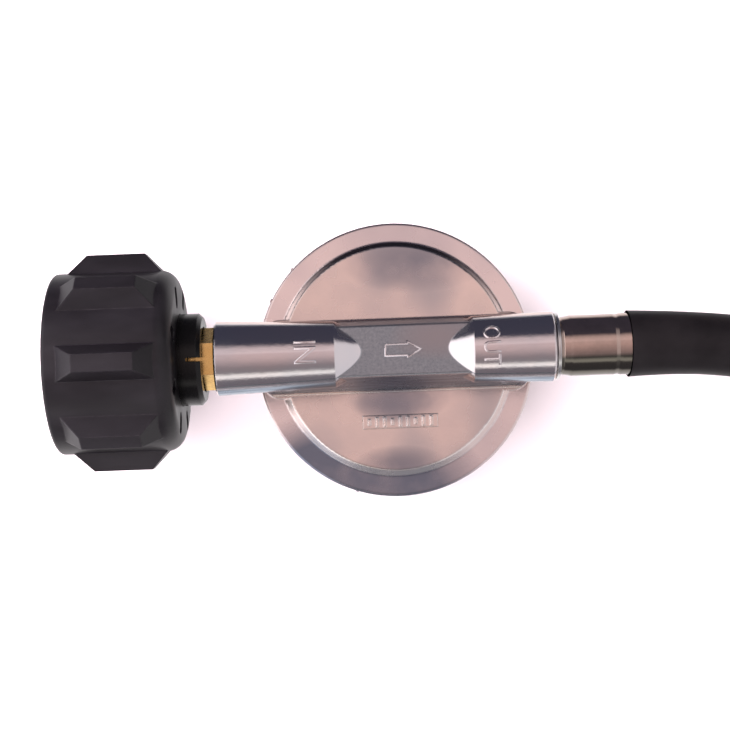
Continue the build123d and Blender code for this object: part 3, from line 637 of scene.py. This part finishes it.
# ---- Set: camera, floor and light ------------------------------------------------------------
def camera():
    data = bpy.data.cameras.new("camera")
    data.lens = CAMERA_LENS
    data.sensor_width = 36
    data.clip_start = 0.01
    tilt, roll = math.radians(CAMERA_ELEVATION), math.radians(CAMERA_ROLL)
    ahead = Vector((0, math.cos(tilt), -math.sin(tilt)))
    level, high = Vector((1, 0, 0)), Vector((0, math.sin(tilt), math.cos(tilt)))
    right = level * math.cos(roll) - high * math.sin(roll)
    up = level * math.sin(roll) + high * math.cos(roll)
    piece = bpy.data.objects.new("camera", data)
    turn = Matrix((right, up, -ahead)).transposed().to_4x4()
    piece.matrix_world = Matrix.Translation(CAMERA_AIM - ahead * CAMERA_AWAY) @ turn
    bpy.context.scene.collection.objects.link(piece)
    bpy.context.scene.camera = piece


def floor():
    mesh = bpy.data.meshes.new("floor")
    shape = bmesh.new()
    bmesh.ops.create_grid(shape, x_segments=1, y_segments=1, size=2.0)
    shape.to_mesh(mesh)
    shape.free()
    mesh.materials.append(pale_floor())
    piece = bpy.data.objects.new("floor", mesh)
    piece.location = (0, 0, -0.0002)
    bpy.context.scene.collection.objects.link(piece)
    piece.visible_glossy = False


def area_light(name, place, size, power):
    """A soft warm light that leaves no reflection of itself in the metal."""
    data = bpy.data.lights.new(name, "AREA")
    data.shape = "RECTANGLE"
    data.size, data.size_y = size
    data.energy = power
    data.color = LIGHT_COLOUR
    piece = bpy.data.objects.new(name, data)
    away = Vector(place) - Vector(LIGHT_AIM)
    piece.location = place
    piece.rotation_euler = away.to_track_quat("Z", "Y").to_euler()
    piece.visible_glossy = False
    bpy.context.scene.collection.objects.link(piece)


def lights():
    area_light("key", (-0.58, 0.10, 0.48), (0.5, 0.5), 8.5)
    area_light("fill_front", (-0.30, -0.45, 0.40), (0.6, 0.5), 4.5)
    area_light("fill_back", (-0.30, 0.45, 0.40), (0.6, 0.5), 4.5)
    area_light("fill_top", (-0.10, 0.0, 0.90), (1.0, 1.0), 4.0)


def sky():
    """A room that is dim pink overhead, dark behind and bright to the left and in front."""
    world = bpy.data.worlds.new("room")
    world.use_nodes = True
    tree = world.node_tree
    tree.nodes.clear()
    new, link = tree.nodes.new, tree.links.new
    place = new("ShaderNodeTexCoord")
    split = new("ShaderNodeSeparateXYZ")
    link(place.outputs["Generated"], split.inputs[0])

    def number(operation, a, b=None):
        node = new("ShaderNodeMath")
        node.operation = operation
        for socket, value in zip(node.inputs, (a, b)):
            if value is None:
                continue
            if hasattr(value, "links"):
                link(value, socket)
            else:
                socket.default_value = value
        return node.outputs[0]

    def ramp(factor, stops):
        node = new("ShaderNodeValToRGB")
        link(factor, node.inputs[0])
        bar = node.color_ramp
        while len(bar.elements) < len(stops):
            bar.elements.new(0.5)
        for element, (where, colour) in zip(bar.elements, stops):
            element.position = where
            element.color = rgb(*colour)
        return node.outputs["Color"]

    # Angle from straight up towards +Y, from -180 to 180 degrees, as 0 to 1
    lean = number("ARCTAN2", split.outputs["Y"], split.outputs["Z"])
    lean = number("MULTIPLY_ADD", lean, 0.5 / math.pi)
    lean.node.inputs[2].default_value = 0.5

    def at(degrees):
        return (degrees + 180) / 360

    across = ramp(
        lean,
        [
            (at(-127), (1.25, 1.18, 1.20)),
            (at(-114), (0.17, 0.16, 0.18)),
            (at(-78), (0.20, 0.18, 0.20)),
            (at(-70), (1.3, 1.25, 1.2)),
            (at(-63), (1.1, 1.05, 1.0)),
            (at(-55), (0.26, 0.24, 0.25)),
            (at(-38), (0.30, 0.25, 0.26)),
            (at(-8), (0.64, 0.50, 0.49)),
            (at(14), (0.85, 0.70, 0.70)),
            (at(25), (0.62, 0.52, 0.52)),
            (at(36), (0.055, 0.055, 0.08)),
            (at(116), (0.05, 0.05, 0.075)),
            (at(132), (1.10, 1.05, 1.08)),
        ],
    )
    # Towards the left and the right the room is bright, but for its back
    side = number("ABSOLUTE", split.outputs["X"])
    bright = new("ShaderNodeMapRange")
    link(side, bright.inputs["Value"])
    bright.inputs["From Min"].default_value = 0.35
    bright.inputs["From Max"].default_value = 0.55
    forward = new("ShaderNodeMapRange")
    link(lean, forward.inputs["Value"])
    forward.inputs["From Min"].default_value = at(62)
    forward.inputs["From Max"].default_value = at(48)
    blend = new("ShaderNodeMix")
    blend.data_type = "RGBA"
    link(number("MULTIPLY", bright.outputs[0], forward.outputs[0]), blend.inputs["Factor"])
    link(across, blend.inputs["A"])
    east = new("ShaderNodeMapRange")
    link(split.outputs["X"], east.inputs["Value"])
    east.inputs["From Min"].default_value = -0.2
    east.inputs["From Max"].default_value = 0.2
    sides = new("ShaderNodeMix")
    sides.data_type = "RGBA"
    link(east.outputs[0], sides.inputs["Factor"])
    sides.inputs["A"].default_value = rgb(1.5, 1.42, 1.45)
    sides.inputs["B"].default_value = rgb(0.80, 0.76, 0.78)
    link(sides.outputs["Result"], blend.inputs["B"])
    out = new("ShaderNodeBackground")
    link(blend.outputs["Result"], out.inputs["Color"])
    out.inputs["Strength"].default_value = 1.0
    last = new("ShaderNodeOutputWorld")
    link(out.outputs[0], last.inputs[0])
    bpy.context.scene.world = world


# ---- Making ----------------------------------------------------------------------------------
camera()
paints = materials()
hose(paints["hose"])
marks(paints)
yielding_parts()
floor()
sky()
lights()
bpy.context.scene.view_settings.view_transform = "Standard"
bpy.context.scene.view_settings.look = "None"
